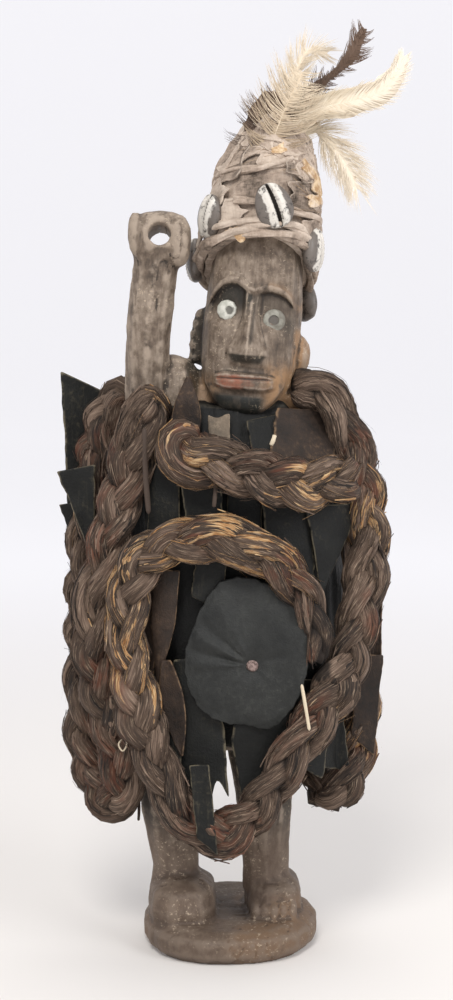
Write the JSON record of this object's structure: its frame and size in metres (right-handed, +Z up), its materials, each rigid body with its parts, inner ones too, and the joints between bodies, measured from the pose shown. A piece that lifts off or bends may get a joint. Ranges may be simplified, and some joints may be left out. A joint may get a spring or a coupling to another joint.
{
  "type": "power figure",
  "caption": "Carved wooden standing figure with a raised pierced fist, a feathered shell-set cap, hide blades, plaited ropes and a nailed belly pouch.",
  "frame": {"origin": "centre of the flat underside of the carved base", "axes": "+Z up through the head, the figure faces -Y, +X to the viewer's right from the front"},
  "size_m": [0.1741, 0.1226, 0.4613],
  "materials": {
    "wood": "matt, dusty, hand-carved",
    "inlay": "satin inlay",
    "bark_cloth": "matt, layered and fibrous",
    "cowrie_shell": "satin shell",
    "hide": "worn, dry, matt to satin",
    "pouch_hide": "soft satin",
    "raffia": "matt, fibrous",
    "iron": "dull, worn",
    "feather_white": "matt",
    "feather_dark": "matt"
  },
  "bodies": {
    "root": {"figure": "wood", "eye_left": "inlay", "eye_right": "inlay", "nail": "iron", "pouch": "pouch_hide", "rope_belly": "raffia", "rope_chest": "raffia", "rope_left": "raffia", "rope_back": "raffia", "bundle": "hide", "cap": "bark_cloth", "cowrie_front": "cowrie_shell", "cowrie_front_left": "cowrie_shell", "cowrie_side_left": "cowrie_shell", "cowrie_back_left": "cowrie_shell", "cowrie_side_right": "cowrie_shell", "cowrie_back_right": "cowrie_shell", "cowrie_back": "cowrie_shell", "feather_dark_tall": "feather_dark", "feather_tan": "feather_white", "feather_white_right": "feather_white", "feather_white_droop": "feather_white", "feather_white_top": "feather_white", "feather_dark_left": "feather_dark", "feather_grey_back": "feather_dark", "blade_apron_long": "hide", "blade_apron_left": "hide", "blade_apron_fold": "hide", "blade_apron_edge": "hide", "blade_fork_left": "hide", "blade_fork_outer": "hide", "blade_over_pouch": "hide", "blade_apron_right": "hide", "blade_hip_right": "hide", "blade_hip_outer": "hide", "blade_side_right": "hide", "blade_mid_right": "hide", "blade_mid_centre": "hide", "blade_mid_left": "hide", "blade_chest_left": "hide", "blade_breast_right": "hide", "blade_collar_right": "hide", "blade_collar_left": "hide", "blade_shoulder_up": "hide", "blade_left_tall": "hide", "blade_left_flag": "hide", "blade_left_low": "hide", "blade_spike_left": "hide", "blade_right_back": "hide", "blade_right_low": "hide", "blade_back_low_1": "hide", "blade_back_low_2": "hide", "blade_back_low_3": "hide", "blade_back_low_4": "hide", "blade_back_high_1": "hide", "blade_back_high_2": "hide", "blade_back_high_3": "hide"}
  },
  "joints": []
}
